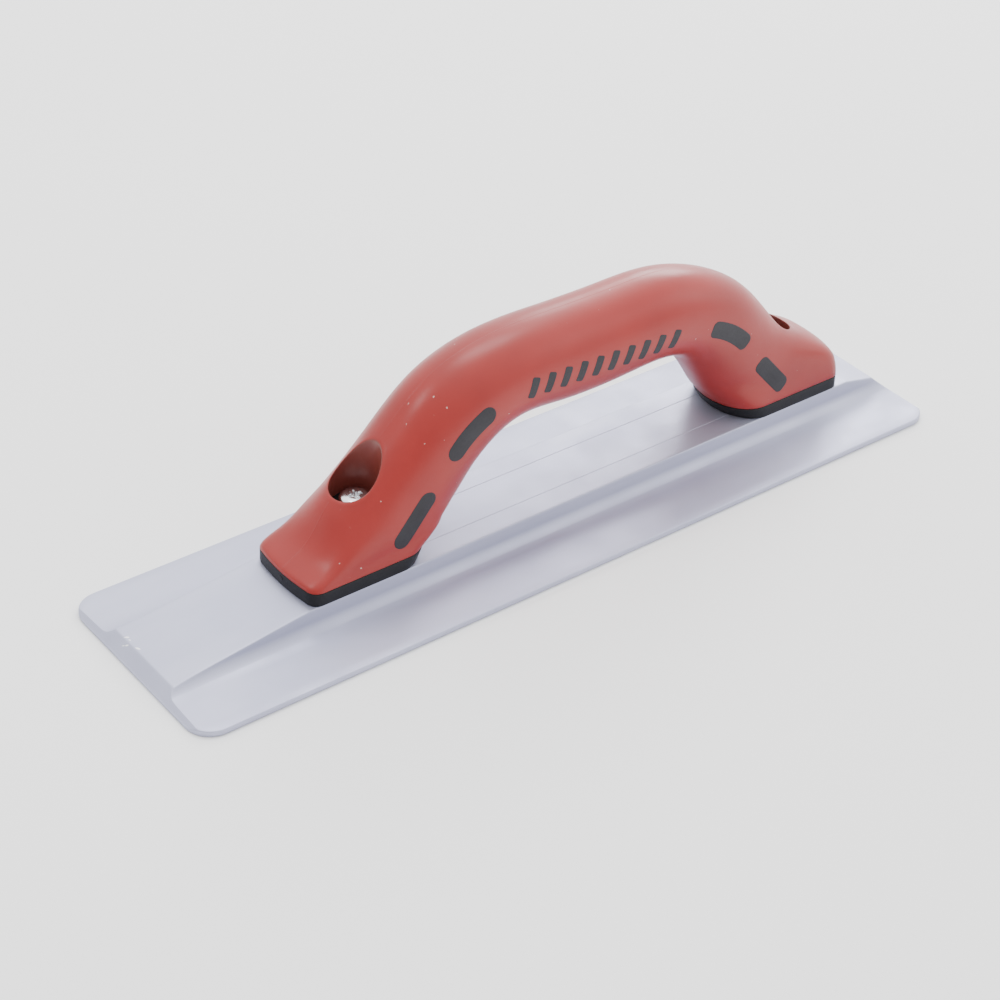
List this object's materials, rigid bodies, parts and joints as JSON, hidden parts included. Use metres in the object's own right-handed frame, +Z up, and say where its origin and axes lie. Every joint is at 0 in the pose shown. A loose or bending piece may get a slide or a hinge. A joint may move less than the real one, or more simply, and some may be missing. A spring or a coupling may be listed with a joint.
{
  "type": "magnesium hand float",
  "caption": "Flat magnesium float blade with a raised spine, hollow flanks and bevelled ends, under a soft red closed bridge handle with screw pockets and dark base bands.",
  "frame": {"origin": "middle of the blade's working face, at the bottom centre of the whole tool", "axes": "+X along the blade towards the end that the handle sits nearer to, +Y across it, +Z up from the working face"},
  "size_m": [0.3048, 0.0794, 0.0756],
  "materials": {
    "magnesium": "satin",
    "soft_red_rubber": "semi-gloss",
    "dark_plastic": "matte",
    "screw_steel": "bright"
  },
  "bodies": {
    "root": {"blade": "magnesium", "grip_skin": "soft_red_rubber", "handle_core": "dark_plastic", "screw_front": "screw_steel", "screw_rear": "screw_steel"}
  },
  "joints": []
}
